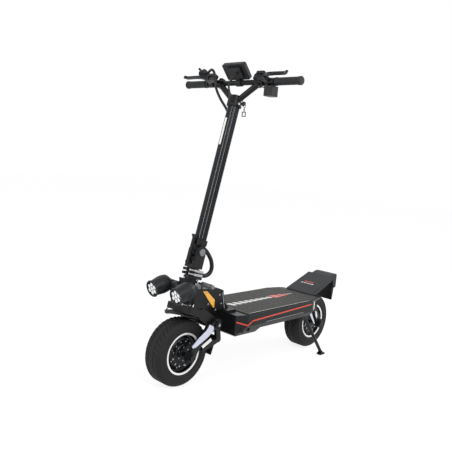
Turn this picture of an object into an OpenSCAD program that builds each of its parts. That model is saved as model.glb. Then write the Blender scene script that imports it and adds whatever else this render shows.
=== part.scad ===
// Folding electric kick scooter with two hub motors and rubber-sprung link arms.
// X points forward, Y to the rider's left and Z up. The origin lies on the ground
// below the middle of the overall length. All sizes are in millimetres.

/* [Wheels] */
// Outer diameter of the tyres
tyre_d = 276; // [264:1:284]
// Width of the tyres
tyre_w = 90; // [80:1:94]
// Outer diameter of the rims
rim_d = 172; // [160:1:184]
// Distance between the two axles
wheelbase = 900; // [880:1:930]
// Distance of the front axle ahead of the origin
front_reach = 462; // [455:1:470]
// Diameter of the axles
axle_d = 20; // [16:1:24]
// Diameter of the brake discs
disc_d = 128; // [110:1:134]

/* [Steering] */
// Lean of the steering axis from upright, in degrees
rake = 13.4; // [12:0.2:14]
// Where the steering axis meets the ground, ahead of the origin
axis_foot = 521.5; // [516:0.5:526]
// Diameter of the steerer
steerer_d = 30; // [26:1:32]
// Length of the head tube
head_len = 76; // [70:1:78]
// Length along the steering axis from the ground to the fold pin
pivot_reach = 563; // [560:1:580]
// Length along the steering axis from the ground to the handlebar
bar_reach = 1284; // [1240:1:1330]

/* [Handlebar] */
// Overall width of the handlebar over the grips
bar_w = 640; // [600:1:680]
// Diameter of the handlebar tube
bar_d = 22; // [20:0.2:24]
// Length of a grip
grip_len = 125; // [110:1:130]
// Diameter of a grip
grip_d = 34; // [30:1:36]
// Half the spread of the riser where it meets the handlebar
riser_spread = 115; // [90:1:120]
// Width across the square stem tube
stem_w = 44; // [40:1:46]

/* [Deck] */
// Width of the deck
deck_w = 300; // [280:1:310]
// Height of the deck surface above the ground
deck_z = 293; // [290:1:296]
// Height of the deck case
case_h = 66; // [60:1:70]
// Depth that the front pod of the case hangs lower
pod_h = 19; // [10:1:24]
// Thickness of the case walls
wall = 4; // [3:0.5:6]
// Thickness of the deck plate
plate_t = 6; // [4:0.5:8]
// Thickness of the grip mat
mat_t = 3; // [2:0.5:4]
// Front end of the deck, ahead of the origin
deck_front = 262; // [256:1:264]
// Width of the footrest
footrest_w = 152; // [140:1:160]

/* [Suspension] */
// Inner distance of a link arm from the middle plane
arm_inner = 71; // [70:1:74]
// Thickness of a link arm
arm_t = 14; // [10:1:16]
// Diameter of the pins that the link arms turn on
link_pin_d = 20; // [16:1:24]

/* [Hidden] */
$fn = 48;
run_gap = 0.05;      // radial clearance of a shaft in its bore
side_gap = 1.5;      // gap between faces that turn past each other
wheel_r = tyre_d / 2;
rim_r = rim_d / 2;
front_axle = [front_reach, wheel_r];
rear_axle = [front_reach - wheelbase, wheel_r];
front_knee = [front_reach - 140, wheel_r + 112];
rear_knee = [front_reach - wheelbase + 138, wheel_r + 105];
arm_outer = arm_inner + arm_t;
leg_outer = arm_inner - 3;
leg_t = 14;
axle_half = arm_outer + 11;
bar_x = axis_foot - bar_reach * sin(rake);
bar_z = bar_reach * cos(rake);
bar_r = bar_d / 2;
grip_r = grip_d / 2;
bar_half = bar_w / 2;
steerer_r = steerer_d / 2;
bearing_r = steerer_r + 5;
head_r = bearing_r + 7;
crown_s = 312;
crown_h = 26;
head_s = crown_s + crown_h + 7;
head_top = head_s + head_len;
cap_h = 6;
base_s = head_top + cap_h + 1;
base_r = 25;
ring_s = 450;
ring_h = 10;
ring_r = 31;
collar_s = [464, 480];
collar_h = 11;
block_s = 494;
block_d = 62;
block_w = 52;
cheek_t = 9;
tongue_half = block_w / 2 - cheek_t - 0.3;
fold_pin_r = 7;
tongue_r = 24;
stem_s = pivot_reach + 36;
sleeve_s = bar_reach - 104;
sleeve_h = 44;
plate_top = deck_z - mat_t;
case_top = plate_top - plate_t;
case_low = case_top - case_h;
pod_low = case_low - pod_h;
case_rear = rear_knee[0] + 28;
plate_rear = -372;
mat_front = 204;
foot_front = -346;
damper_a = 44;
damper_s = 438;
damper_r = 10;
rod_r = 4;
rod_throw = 21;

// ---- shared shapes ----

// A round bar along Y between two places
module tube_y(r, low, high) {
    translate([0, high, 0]) rotate([90, 0, 0]) cylinder(r = r, h = high - low);
}

// A flat shape drawn in X and Z, as thick as the two places along Y say
module plate_y(low, high) {
    translate([0, high, 0]) rotate([90, 0, 0]) linear_extrude(high - low) children();
}

module both_sides() {
    children();
    mirror([0, 1, 0]) children();
}

// A straight beam with round ends in the plane
module beam(p, q, w) {
    d = q - p;
    translate(p) circle(d = w);
    translate(q) circle(d = w);
    translate(p) rotate(atan2(d[1], d[0])) translate([0, -w / 2]) square([norm(d), w]);
}

function unit(v) = v / norm(v);
function left_of(v) = [-v[1], v[0]];

// Outline of a blade that follows points, with a width at each point and round ends
function ribbon(path, widths) =
    let (
        last = len(path) - 1,
        way = [for (i = [0 : last]) unit(path[min(i + 1, last)] - path[max(i - 1, 0)])],
        left = [for (i = [0 : last]) path[i] + widths[i] / 2 * left_of(way[i])],
        right = [for (i = [last : -1 : 0]) path[i] - widths[i] / 2 * left_of(way[i])],
        turns = [75 : -15 : -75],
        nose = [for (a = turns) path[last] + widths[last] / 2 * (cos(a) * way[last] + sin(a) * left_of(way[last]))],
        tail = [for (a = turns) path[0] - widths[0] / 2 * (cos(a) * way[0] + sin(a) * left_of(way[0]))]
    )
    concat(left, nose, right, tail);

// A round rod between two points in space
module rod(p, q, r) {
    d = q - p;
    translate(p) rotate([0, acos(d[2] / norm(d)), atan2(d[1], d[0])]) cylinder(r = r, h = norm(d));
}

// A rectangle with round corners, on its centre
module round_rect(w, h, r) {
    square([w - 2 * r, h], center = true);
    square([w, h - 2 * r], center = true);
    for (i = [-1, 1], j = [-1, 1]) translate([i * (w / 2 - r), j * (h / 2 - r)]) circle(r = r);
}

// Local frame whose Z runs up the steering axis from the ground
module steer_frame() {
    translate([axis_foot, 0, 0]) rotate([0, -rake, 0]) children();
}

module at_bar() {
    translate([bar_x, 0, bar_z]) children();
}

module at(p) {
    translate([p[0], 0, p[1]]) children();
}

// ---- deck ----

front_taper = 205;
rear_taper = -262;
nose_half = deck_w / 2 - 22;
tail_half = deck_w / 2 - 32;

// Plan of the deck from its nose to a chosen rear end, drawn in by an inset
module deck_plan(rear, inset) {
    half = deck_w / 2 - inset;
    nose = nose_half - inset;
    tail = tail_half - inset;
    intersection() {
        polygon([
            [deck_front - inset, nose], [front_taper, half], [rear_taper, half], [plate_rear, tail],
            [plate_rear, -tail], [rear_taper, -half], [front_taper, -half], [deck_front - inset, -nose],
        ]);
        translate([rear, -deck_w]) square([deck_front - rear, 2 * deck_w]);
    }
}

// Cross-section of the case: upright flanks over sides that draw in to the belly
module case_section() {
    half = deck_w / 2;
    polygon([
        [-half, case_top], [-half, case_top - flank_h], [belly_draw - half, case_low],
        [2 * belly_draw - half, pod_low], [half - 2 * belly_draw, pod_low], [half - belly_draw, case_low],
        [half, case_top - flank_h], [half, case_top],
    ]);
}

// Side view of the case: a deep pod in front of a shallower belly
module case_side() {
    polygon([
        [case_rear, case_top], [deck_front, case_top], [deck_front, pod_low + 6],
        [deck_front - 6, pod_low], [126, pod_low], [126 - pod_h, case_low],
        [case_rear + 14, case_low], [case_rear, case_low + 14],
    ]);
}

belly_draw = 12;
flank_h = 44;
socket_z = case_low + 6;
socket_r = 9;
socket_bore_r = 6;
socket_depth = 12;
socket_floor = 3;
flank_y = deck_w / 2 - belly_draw * (case_top - flank_h - socket_z) / (case_h - flank_h);
open_socket_x = front_taper - 13;
capped_socket_x = front_taper + 26;
taper_angle = atan2(deck_w / 2 - nose_half, deck_front - front_taper);
capped_socket_y = deck_w / 2 - (capped_socket_x - front_taper) * tan(taper_angle);

module open_socket_frame() {
    translate([open_socket_x, flank_y, socket_z]) children();
}

module capped_socket_frame() {
    translate([capped_socket_x, capped_socket_y, socket_z]) rotate([0, 0, -taper_angle]) children();
}

module deck_case() {
    color("dimgray") difference() {
        union() {
            intersection() {
                translate([0, 0, pod_low]) linear_extrude(case_top - pod_low) deck_plan(case_rear, 0);
                rotate([90, 0, 90]) translate([0, 0, case_rear])
                    linear_extrude(deck_front - case_rear) case_section();
                plate_y(-deck_w / 2, deck_w / 2) case_side();
            }
            at(rear_knee) tube_y(20, -leg_outer, leg_outer);
            plate_y(-leg_outer, leg_outer)
                translate([rear_knee[0], rear_knee[1] - 16]) square([30, 32]);
            both_sides() translate([plate_rear + 14, 90, case_top - 22]) cube([90, 20, 22]);
        }
        translate([0, 0, case_low + wall]) linear_extrude(case_h) deck_plan(case_rear + 12, wall + 12);
        at(rear_knee) tube_y(link_pin_d / 2 + run_gap, -leg_outer - 1, leg_outer + 1);
        open_socket_frame() tube_y(socket_r, -socket_depth - socket_floor, belly_draw);
        capped_socket_frame() tube_y(socket_r, -socket_depth, belly_draw);
    }
}

module deck_plate() {
    color("#2b2c2e") translate([0, 0, case_top]) linear_extrude(plate_t) deck_plan(plate_rear, 0);
}

// The mat: a ribbed rubber sheet with a seam across it near the front
module grip_mat() {
    rib_pitch = 24;
    color("#4a4b49") translate([0, 0, plate_top]) difference() {
        linear_extrude(mat_t) intersection() {
            deck_plan(foot_front + 2, 8);
            translate([foot_front, -deck_w]) square([mat_front - foot_front, 2 * deck_w]);
        }
        for (y = [-5 : 5])
            translate([foot_front + 30, y * rib_pitch - 1, mat_t - 0.8])
                cube([mat_front - foot_front - 70, 2, 2]);
        translate([mat_front - 30, -deck_w / 2, mat_t - 1]) cube([2, deck_w, 2]);
    }
}

// Red line along each flank: down from the nose, up again and straight back
stripe_z = case_top - 12;
module side_stripes() {
    path = [[196, stripe_z - 6], [170, stripe_z - 26], [142, stripe_z - 14], [-230, stripe_z + 1]];
    color("#d8341f") both_sides() plate_y(deck_w / 2, deck_w / 2 + 1.2)
        polygon(ribbon(path, [for (p = path) 6]));
}

module battery_pack() {
    color("#20456b") translate([-200, -100, case_low + wall]) cube([330, 200, case_h - wall - 8]);
}

// Two charging sockets: one open, the other closed by its rubber cap
module charge_sockets() {
    rim = 1;
    color("#3a3a3a") {
        open_socket_frame() difference() {
            tube_y(socket_r, -socket_depth - socket_floor, rim);
            tube_y(socket_bore_r, -socket_depth + rim, 2 * rim);
        }
        capped_socket_frame() {
            tube_y(socket_r, -socket_depth, rim);
            tube_y(socket_r - 1, rim, 3 * rim);
        }
    }
}

// ---- neck and head ----

neck_half = 42;
neck_low = [axis_foot - (head_s + 8) * sin(rake), (head_s + 8) * cos(rake)];
neck_top = [axis_foot - (head_top - 8) * sin(rake), (head_top - 8) * cos(rake)];
roof_front = neck_top - [40, 4];
roof_rear = [deck_front + 34, neck_top[1] - 8];

// Height of the neck's roof at a place along X
roof_slope = (roof_front[1] - roof_rear[1]) / (roof_front[0] - roof_rear[0]);
function roof_z(x) = roof_front[1] - (roof_front[0] - x) * roof_slope;

module neck() {
    color("#1d1e20") difference() {
        union() {
            plate_y(-neck_half, neck_half) polygon([
                [mat_front + 6, plate_top], [deck_front, plate_top], [deck_front + 36, plate_top + 14],
                neck_low - [34, 0], neck_low, neck_top, roof_front, roof_rear,
                [deck_front - 4, roof_rear[1] - 14], [deck_front - 14, plate_top + 40],
            ]);
            plate_y(-78, 78) polygon([
                [mat_front + 2, plate_top], [deck_front, plate_top],
                [deck_front, plate_top + 9], [mat_front + 8, plate_top + 9],
            ]);
            steer_frame() translate([0, 0, head_s]) cylinder(r = head_r, h = head_len);
        }
        steer_frame() translate([0, 0, head_s - 1]) cylinder(r = bearing_r, h = head_len + 2);
    }
}

module headset_bearings() {
    bearing_h = 11;
    color("silver") steer_frame() for (s = [head_s, head_top - bearing_h])
        translate([0, 0, s]) difference() {
            cylinder(r = bearing_r, h = bearing_h);
            translate([0, 0, -1]) cylinder(r = steerer_r + run_gap, h = bearing_h + 2);
        }
}

module side_reflectors() {
    color("#f5b400") both_sides() plate_y(neck_half, neck_half + 2.5)
        polygon([[383, 389], [359, 387], [310, 344], [310, 309], [318, 314]]);
}

// Steering damper: a small cylinder across the top of the neck with a knob on its end
damper_y = [30, 82];
damper_axis = [
    axis_foot - damper_s * sin(rake) - damper_a * cos(rake), damper_s * cos(rake) - damper_a * sin(rake),
];
module damper_cylinder() {
    foot = [damper_axis[0] - 11, damper_axis[0] + 7];
    color("#9aa0a5") difference() {
        union() {
            at(damper_axis) {
                tube_y(damper_r, damper_y[0], damper_y[1]);
                tube_y(6, damper_y[1], damper_y[1] + 4);
                tube_y(8.5, damper_y[1] + 4, damper_y[1] + 12);
            }
            plate_y(damper_y[0] + 1, neck_half) polygon([
                [foot[0], roof_z(foot[0])], [foot[1], roof_z(foot[1])],
                damper_axis + [damper_r - 3, 0], damper_axis - [damper_r - 2, 0],
            ]);
        }
        at(damper_axis) tube_y(rod_r + run_gap, damper_y[0] - 1, damper_y[1] - 3);
    }
}

// ---- rear of the chassis ----

footrest_slope = 20.4;
footrest_rear = -532;
footrest_t = 5;
module footrest() {
    half = footrest_w / 2;
    rise = (foot_front - footrest_rear) * tan(footrest_slope);
    low = plate_top + 9;
    color("#38393b") {
        plate_y(-half, half) polygon([
            [foot_front, plate_top], [foot_front, low], [footrest_rear, low + rise],
            [footrest_rear, low + rise - 14], [footrest_rear + 4, low + rise - 14],
            [footrest_rear + 4, low + rise - 2 - footrest_t],
            [plate_rear - 4, low + 8], [plate_rear, plate_top],
        ]);
        both_sides() plate_y(half - 5, half) polygon([
            [plate_rear, plate_top], [plate_rear, low + 4], [footrest_rear, low + rise - 3],
            [footrest_rear, low + rise - 20], [plate_rear - 26, plate_top],
        ]);
        both_sides() plate_y(54, 62) polygon([
            [plate_rear, plate_top - plate_t], [plate_rear, low + 4], [plate_rear - 90, low + 38],
            [plate_rear - 12, plate_top - plate_t],
        ]);
    }
}

rear_end = -600;
module rear_lamp() {
    rise = (foot_front - footrest_rear) * tan(footrest_slope);
    top = plate_top + 9 + rise;
    color("#a01414") {
        plate_y(-58, 58) polygon([
            [footrest_rear, top - 3], [footrest_rear, top - 13], [rear_end + 32, top - 26],
            [rear_end + 22, top - 66], [rear_end + 4, top - 66], [rear_end, top - 58],
            [rear_end, top + 2], [rear_end + 6, top + 8], [rear_end + 28, top + 8],
        ]);
    }
}

module rear_mudguard() {
    rise = (foot_front - footrest_rear) * tan(footrest_slope);
    top = plate_top + 9 + rise - 66;
    color("#26272a") plate_y(-50, 50) polygon([
        [rear_end + 22, top], [rear_end + 4, top], [rear_end + 12, top - 66],
        [rear_end + 18, top - 68],
    ]);
}

stand_drop = 14;
stand_pivot = [case_rear + 4, 104, case_low - stand_drop];
stand_foot = [stand_pivot[0] - 124, stand_pivot[1] + 38, 0];
stand_pin_r = 5;
stand_ear = 12;
stand_gap = 12;
// Plate under the case with two ears and the pin of the stand
module kickstand_bracket() {
    ear_t = 7;
    seat_t = 3;
    seat_len = 60;
    color("#303134") translate([stand_pivot[0], stand_pivot[1], stand_pivot[2]]) {
        both_sides() plate_y(stand_gap, stand_gap + ear_t) {
            circle(r = stand_ear);
            translate([-2, 0]) square([stand_ear + 12, stand_drop]);
        }
        plate_y(-stand_gap - ear_t, stand_gap + ear_t)
            translate([-2, stand_drop - seat_t]) square([seat_len, seat_t]);
        tube_y(stand_pin_r, -stand_gap - 1, stand_gap + 1);
    }
}

// A pin with a flat round head on each end
module headed_pin(r, head, half, head_t) {
    tube_y(r, -half, half);
    both_sides() tube_y(head, half, half + head_t);
}

module rear_pivot_pin() {
    color("silver") at(rear_knee) headed_pin(link_pin_d / 2, 15, arm_outer + 1, 4);
}

// ---- steering column ----

module steerer() {
    color("silver") steer_frame() {
        translate([0, 0, crown_s]) cylinder(r = steerer_r, h = block_s - crown_s - 4);
        translate([0, 0, head_top + 0.5]) difference() {
            cylinder(r = head_r, h = cap_h);
            translate([0, 0, -1]) cylinder(r = steerer_r, h = cap_h + 2);
        }
    }
}

module fork() {
    color("#18191b") difference() {
        union() {
            steer_frame() translate([-4, 0, crown_s]) linear_extrude(crown_h)
                round_rect(76, 2 * leg_outer, 14);
            both_sides() plate_y(leg_outer - leg_t, leg_outer) {
                beam(front_knee, front_knee + [76, 50], 44);
                beam(front_knee + [76, 50], front_knee + [122, 64], 30);
            }
            at(front_knee) tube_y(24, -leg_outer, leg_outer);
        }
        steer_frame() translate([0, 0, crown_s - 1]) cylinder(r = steerer_r + run_gap, h = crown_h + 2);
        at(front_knee) tube_y(link_pin_d / 2 + run_gap, -leg_outer - 1, leg_outer + 1);
    }
}

module front_pivot_pin() {
    color("silver") at(front_knee) headed_pin(link_pin_d / 2, 15, arm_outer + 1, 4);
}

lamp_y = 72;
lamp_r = 37;
lamp_len = 82;
lamp_back = [474, 414];
lamp_tilt = 14.5;
module lamp_frame(side) {
    translate([lamp_back[0], side * lamp_y, lamp_back[1]]) rotate([0, 90 + lamp_tilt, 0]) children();
}

module headlights() {
    color("#2a2b2d") for (side = [-1, 1]) lamp_frame(side) difference() {
        rotate_extrude() polygon([
            [0, 0], [26, 0], [lamp_r - 3, 8], [lamp_r, 22], [lamp_r, 40], [lamp_r - 4, 70],
            [lamp_r - 6, lamp_len], [lamp_r - 10, lamp_len], [lamp_r - 12, lamp_len - 6], [0, lamp_len - 6],
        ]);
        for (i = [0 : 5]) translate([0, 0, 14 + 7 * i]) difference() {
            cylinder(r = lamp_r + 2, h = 2.4);
            translate([0, 0, -1]) cylinder(r = lamp_r - 2.5, h = 5);
            translate([-2 * lamp_r, -lamp_r - 4, -1]) cube([2 * lamp_r, 2 * lamp_r + 8, 5]);
        }
    }
}

module headlight_lenses() {
    color("white") for (side = [-1, 1]) lamp_frame(side)
        translate([0, 0, lamp_len - 6]) rotate_extrude()
            polygon([[0, 0], [lamp_r - 12, 0], [lamp_r - 10.5, 4.5], [lamp_r - 16, 7], [0, 8]]);
}

lamp_bar = lamp_back - [12, -3];
// Cross bar under a ring on the column, with a stub into the back of each lamp
module headlight_bar() {
    r = 9;
    stub = 14;
    ring = ring_s - 14;
    place = lamp_bar - [axis_foot, 0];
    bar_local = [place[0] * cos(rake) + place[1] * sin(rake), place[1] * cos(rake) - place[0] * sin(rake)];
    color("#232427") {
        at(lamp_bar) tube_y(r, -lamp_y - 12, lamp_y + 12);
        for (side = [-1, 1]) lamp_frame(side) translate([0, 0, -stub]) cylinder(r = 12, h = stub);
        steer_frame() {
            translate([0, 0, ring]) linear_extrude(ring_h) difference() {
                union() {
                    circle(r = ring_r);
                    translate([0, -16]) square([bar_local[0] + r, 32]);
                }
                circle(r = base_r + run_gap);
            }
            plate_y(-12, 12) translate([bar_local[0] - r, bar_local[1]])
                square([2 * r, ring - bar_local[1] + 1]);
        }
    }
}

fender_r = wheel_r + 20;
fender_t = 3;
module front_fender() {
    outer = fender_r + fender_t;
    color("#3b3c3d") {
        at(front_axle) plate_y(-50, 50) {
            intersection() {
                difference() {
                    circle(r = outer, $fn = 96);
                    circle(r = fender_r, $fn = 96);
                }
                polygon([[0, 0], 300 * [cos(86), sin(86)], [-140, 300], 300 * [cos(127), sin(127)]]);
            }
            polygon([
                [fender_r * cos(86), fender_r * sin(86)], [outer * cos(88), outer * sin(88)],
                [52, fender_r + 33], [56, fender_r + 31],
            ]);
        }
        steer_frame() translate([2, 0, crown_s - 14]) intersection() {
            cylinder(r = 14, h = 14);
            translate([-40, -40, 7.2]) cube([80, 80, 7]);
        }
    }
}

latch_s = block_s + 20;
latch_x = block_d / 2 + 7;
latch_half = 7;
latch_pin_r = 2.5;
// Lower half of the folding joint: a sleeve on the steerer, two cheeks for the pin and two ears for the hook
module fold_base() {
    cheek_r = 26;
    color("#202124") steer_frame() difference() {
        union() {
            translate([0, 0, base_s]) cylinder(r = base_r, h = block_s - base_s);
            translate([0, 0, block_s]) linear_extrude(pivot_reach - 38 - block_s)
                round_rect(block_d, block_w, 8);
            both_sides() plate_y(block_w / 2 - cheek_t, block_w / 2) {
                translate([0, pivot_reach]) circle(r = cheek_r);
                translate([-cheek_r, block_s + 10]) square([2 * cheek_r, pivot_reach - block_s - 10]);
            }
            both_sides() plate_y(latch_half + 0.7, latch_half + 4)
                beam([block_d / 2 - 5, latch_s], [latch_x, latch_s], 11);
            translate([latch_x, 0, latch_s]) tube_y(latch_pin_r, -latch_half - 1, latch_half + 1);
        }
        translate([0, 0, base_s - 1]) cylinder(r = steerer_r + run_gap, h = block_s - base_s - 3);
        translate([0, 0, pivot_reach]) tube_y(fold_pin_r + run_gap, -block_w, block_w);
    }
}

module fold_pin() {
    color("#77797c") steer_frame() translate([0, 0, pivot_reach])
        headed_pin(fold_pin_r, 15, block_w / 2, 6);
}

ear_half = 13;
ear_front = ring_r + 12;
lever_pin = [ring_r + 5, ear_half + 11];
lever_pin_r = 3;
lug_t = 2.6;
// Split collars on the sleeve, each with two ears in front, a bolt across them and lugs for its cam lever,
// a socket for the conduit behind, and the arm that works the steering damper
module clamp_collars() {
    slit = 3;
    color("#2b2c30") steer_frame() difference() {
        union() {
            for (s = collar_s) translate([0, 0, s]) {
                linear_extrude(collar_h) {
                    circle(r = ring_r);
                    translate([0, -ear_half]) square([ear_front, 2 * ear_half]);
                }
                for (z = [0, collar_h - lug_t]) translate([0, 0, z]) linear_extrude(lug_t)
                    beam([lever_pin[0], ear_half - 6], lever_pin, 11);
                translate([lever_pin[0], lever_pin[1], 0]) cylinder(r = lever_pin_r, h = collar_h);
                translate([lever_pin[0], 0, collar_h / 2]) tube_y(4.5, -ear_half - 4, -ear_half);
            }
            translate([0, 0, collar_s[0] + collar_h / 2]) rotate([0, -90, 0])
                cylinder(r = conduit_r + 1, h = conduit_foot);
            translate([0, 0, ring_s]) linear_extrude(ring_h) difference() {
                union() {
                    circle(r = ring_r);
                    beam([0, 0], [-damper_a - 6, 0], 22);
                }
                beam([-damper_a + 0.5, 0], [-damper_a / cos(25), 0], 2 * rod_r + 2.8);
            }
        }
        translate([0, 0, ring_s - 1]) cylinder(r = base_r + run_gap, h = 60);
        for (s = collar_s) translate([0, -slit / 2, s - 1]) cube([ear_front + 1, slit, collar_h + 2]);
    }
    color("#2b2c30") steer_frame() for (s = collar_s) translate([lever_pin[0], 0, s + collar_h / 2])
        tube_y(slit, -slit / 2 - 1, slit / 2 + 1);
}

// A cam lever that lies round the left of the column
module clamp_lever(s) {
    hub_h = collar_h - 2 * lug_t - 0.6;
    blade_h = collar_h - 2;
    bend = lever_pin + [-16, 15];
    tip = bend + [-36, 2];
    steer_frame() translate([0, 0, s + collar_h / 2]) difference() {
        union() {
            translate([0, 0, -hub_h / 2]) linear_extrude(hub_h) {
                translate(lever_pin) circle(r = 5.5);
                beam(lever_pin, bend, 7);
            }
            translate([0, 0, -blade_h / 2]) linear_extrude(blade_h) {
                beam(bend, tip, 7);
                translate(tip) circle(r = 5);
            }
        }
        translate([lever_pin[0], lever_pin[1], -collar_h])
            cylinder(r = lever_pin_r + run_gap, h = 2 * collar_h);
    }
}

module upper_lever() {
    color("silver") clamp_lever(collar_s[1]);
}

module lower_lever() {
    color("silver") clamp_lever(collar_s[0]);
}

// Safety hook that stands up in front of the joint and keeps the stem from folding
module fold_latch() {
    color("#3a3b3e") steer_frame() plate_y(-latch_half, latch_half) difference() {
        union() {
            beam([latch_x, latch_s], [latch_x - 2, pivot_reach + 50], 9);
            beam([latch_x - 2, pivot_reach + 50], [latch_x + 6, pivot_reach + 62], 7);
        }
        translate([latch_x, latch_s]) circle(r = latch_pin_r + run_gap);
    }
}

module damper_rod() {
    color("silver") steer_frame() translate([-damper_a, 0, damper_s]) {
        tube_y(rod_r, -5, damper_y[0] + rod_throw + 4);
        tube_y(6.5, -6.5, 6.5);
        translate([0, 0, 5]) cylinder(r = rod_r, h = ring_s + ring_h - damper_s - 6);
    }
}

// ---- stem and handlebar ----

module stem_profile(w) {
    round_rect(w, w, 14);
}

// Tongue that turns on the fold pin and carries the tube
module stem_knuckle() {
    color("#232427") steer_frame() difference() {
        union() {
            plate_y(-tongue_half, tongue_half) {
                translate([0, pivot_reach]) circle(r = tongue_r);
                translate([-tongue_r, pivot_reach]) square([tongue_r + 20, stem_s - pivot_reach]);
            }
            translate([0, 0, stem_s - 8]) linear_extrude(22) round_rect(stem_w + 10, stem_w + 8, 14);
        }
        translate([0, 0, stem_s]) linear_extrude(30) stem_profile(stem_w);
        translate([0, 0, pivot_reach]) tube_y(fold_pin_r + run_gap, -block_w, block_w);
    }
}

// Square extrusion with round corners and three grooves in each face
module stem_tube() {
    stem_len = sleeve_s + sleeve_h - stem_s - 4;
    color("#1c1d20") steer_frame() translate([0, 0, stem_s]) linear_extrude(stem_len)
        difference() {
            stem_profile(stem_w);
            round_rect(stem_w - 9, stem_w - 9, 10);
            for (turn = [0 : 3], j = [-1 : 1]) rotate(90 * turn)
                translate([stem_w / 2, j * 7]) circle(r = 1.6, $fn = 16);
        }
}

strut_s = sleeve_s + 26;
// Sleeve over the stem and two struts that spread to the handlebar clamps
module bar_riser() {
    clamp_r = bar_r + 6;
    color("#26272a") steer_frame() difference() {
        union() {
            translate([0, 0, sleeve_s]) linear_extrude(sleeve_h) round_rect(stem_w + 9, stem_w + 9, 15);
            both_sides() {
                rod([0, 12, strut_s], [0, riser_spread, bar_reach], 12.5);
                translate([0, 0, bar_reach]) tube_y(clamp_r, riser_spread - 20, riser_spread + 20);
                translate([0, riser_spread - 8, bar_reach - clamp_r - 3])
                    linear_extrude(2 * clamp_r + 6) round_rect(24, 20, 4);
            }
        }
        translate([0, 0, sleeve_s - 1]) linear_extrude(sleeve_h - 3) stem_profile(stem_w + 0.1);
        translate([0, 0, bar_reach]) tube_y(bar_r + run_gap, -bar_half, bar_half);
    }
}

module handlebar() {
    color("#1f2022") at_bar() difference() {
        tube_y(bar_r, -bar_half + 4, bar_half - 4);
        tube_y(bar_r - 3, -bar_half + 3, bar_half - 3);
    }
}

module grips() {
    flange = 4;
    color("#2e2f31") at_bar() both_sides() difference() {
        rotate([-90, 0, 0]) rotate_extrude() polygon([
            [0, bar_half], [grip_r - 3, bar_half], [grip_r, bar_half - 3], [grip_r, bar_half - 12],
            [grip_r - 1.5, bar_half - 20], [grip_r - 1.5, bar_half - grip_len + 12],
            [grip_r, bar_half - grip_len + flange], [grip_r, bar_half - grip_len], [0, bar_half - grip_len],
        ]);
        tube_y(bar_r + run_gap, bar_half - grip_len - 1, bar_half - 4);
    }
}

lever_tilt = 25;
lever_pivot = [40, 160];
module control_frame() {
    at_bar() rotate([0, -lever_tilt, 0]) children();
}

// Brake master: a split clamp, a cylinder body, a reservoir and two lugs for the lever
module brake_master() {
    difference() {
        union() {
            tube_y(bar_r + 5, 146, 174);
            translate([0, 0, -10]) linear_extrude(20)
                polygon(ribbon([[6, lever_pivot[1] - 3], [30, lever_pivot[1] - 7], [36, lever_pivot[1] - 46]],
                    [22, 26, 18]));
            translate([33, lever_pivot[1] - 24, 9]) linear_extrude(12) round_rect(28, 42, 5);
            translate([lever_pivot[0], lever_pivot[1], -10]) cylinder(r = 9, h = 20);
        }
        tube_y(bar_r + run_gap, 140, 180);
        translate([lever_pivot[0] - 12, lever_pivot[1] - 11, -6.2]) cube([40, 50, 12.4]);
    }
    translate([lever_pivot[0], lever_pivot[1], -9]) cylinder(r = 3, h = 18);
}

module brake_masters() {
    color("#232427") control_frame() both_sides() brake_master();
}

// Lever blade with a curled tip
module brake_lever() {
    p = lever_pivot;
    difference() {
        translate([0, 0, -5.5]) linear_extrude(11) {
            translate(p) circle(r = 8);
            polygon(ribbon([p + [1, 2], p + [12, 30], p + [13, 60], p + [12, 110], p + [19, 124]],
                [12, 12, 10, 10, 9]));
        }
        translate([p[0], p[1], -9]) cylinder(r = 3 + run_gap, h = 18);
    }
}

module left_brake_lever() {
    color("#2d2e31") control_frame() brake_lever();
}

module right_brake_lever() {
    color("#2d2e31") control_frame() mirror([0, 1, 0]) brake_lever();
}

throttle_y = -bar_half + grip_len + 9;
throttle_tilt = 62;
module throttle_frame() {
    at_bar() translate([0, throttle_y, 0]) rotate([0, -throttle_tilt, 0]) children();
}

// Round throttle housing on a clamp beside the right grip
module throttle_body() {
    color("#26272b") throttle_frame() difference() {
        union() {
            tube_y(bar_r + 4.5, -6, 6);
            translate([0, 0, -6]) linear_extrude(12) polygon(ribbon([[12, 0], [40, -9]], [10, 13]));
            translate([46, -14, -11]) cylinder(r = 19, h = 22);
        }
        tube_y(bar_r + run_gap, -10, 10);
        translate([46, -14, 3]) cylinder(r = 14, h = 20);
    }
}

module throttle_trigger() {
    color("#1b1c1e") throttle_frame() translate([46, -14, 3.4]) {
        cylinder(r = 13.4, h = 13);
        translate([0, 0, 8]) linear_extrude(5) polygon(ribbon([[2, -4], [9, -22], [20, -32]], [10, 10, 8]));
    }
}

display_tilt = 48;
// Wide display on a short bracket over the middle of the handlebar
module display() {
    w = 124;
    d = 74;
    t = 15;
    color("#1d1f22") at_bar() {
        difference() {
            translate([24, 0, 44]) rotate([0, -display_tilt, 0]) {
                linear_extrude(t, center = true) round_rect(d, w, 9);
                translate([0, 0, -t / 2 - 9]) linear_extrude(10) round_rect(d - 24, w - 50, 8);
            }
            tube_y(bar_r + run_gap, -60, 60);
        }
        difference() {
            union() {
                tube_y(bar_r + 4, -14, 14);
                plate_y(-9, 9) beam([4, 12], [20, 30], 16);
            }
            tube_y(bar_r + run_gap, -60, 60);
        }
    }
}

box_at = [-22, 152, -58];
box_size = [46, 40, 40];
button_r = 5;
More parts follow.
